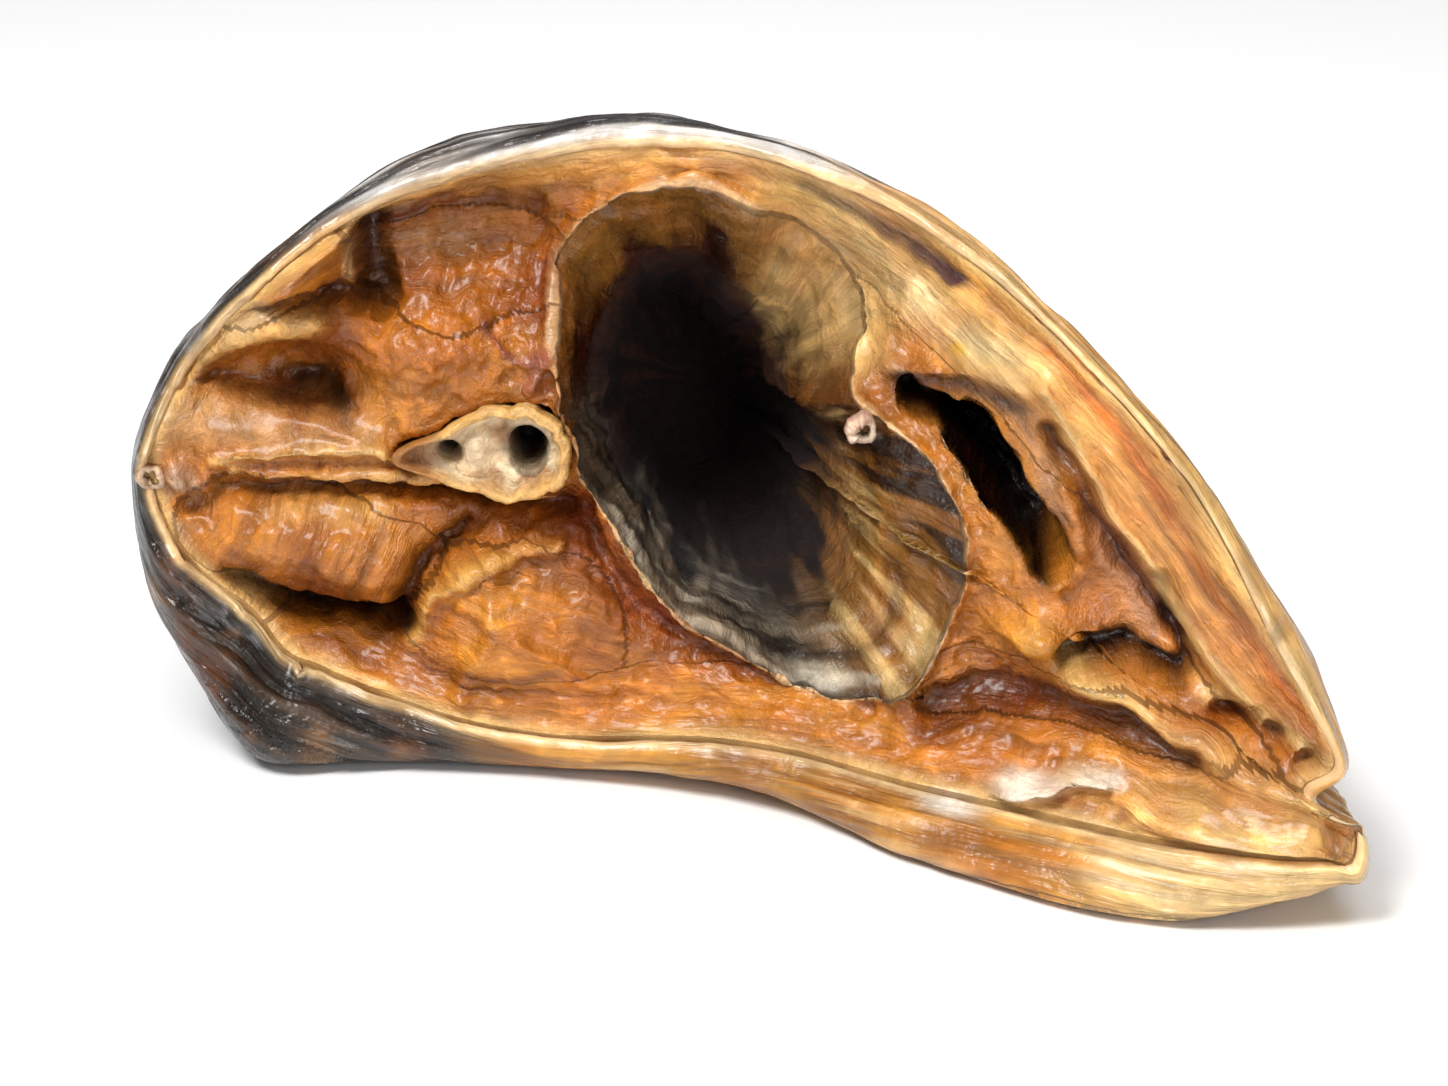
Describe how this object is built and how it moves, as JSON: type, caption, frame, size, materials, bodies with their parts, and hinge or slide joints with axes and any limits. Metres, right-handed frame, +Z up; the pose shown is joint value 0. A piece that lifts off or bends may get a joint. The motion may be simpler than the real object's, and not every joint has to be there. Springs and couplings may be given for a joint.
{
  "type": "dried catfish steak",
  "caption": "Cross-cut piece of dried catfish lying on its flank: skin round sunken amber flesh, an open body cavity and the backbone at the cut.",
  "frame": {"origin": "on the table, under the middle of the piece's box", "axes": "+X from the back of the fish to its belly, +Y from the larger cut to the tail end, +Z up from the flank that it lies on"},
  "size_m": [0.105, 0.089, 0.0577],
  "materials": {
    "flesh": "dried amber fish flesh, semi-gloss, with paler tendon edges",
    "skin": "dried wrinkled fish skin, dark grey-brown on the back and pale gold on the belly",
    "bone": "matte cream fish bone"
  },
  "bodies": {
    "root": {"flesh": "flesh", "backbone": "bone"}
  },
  "joints": []
}
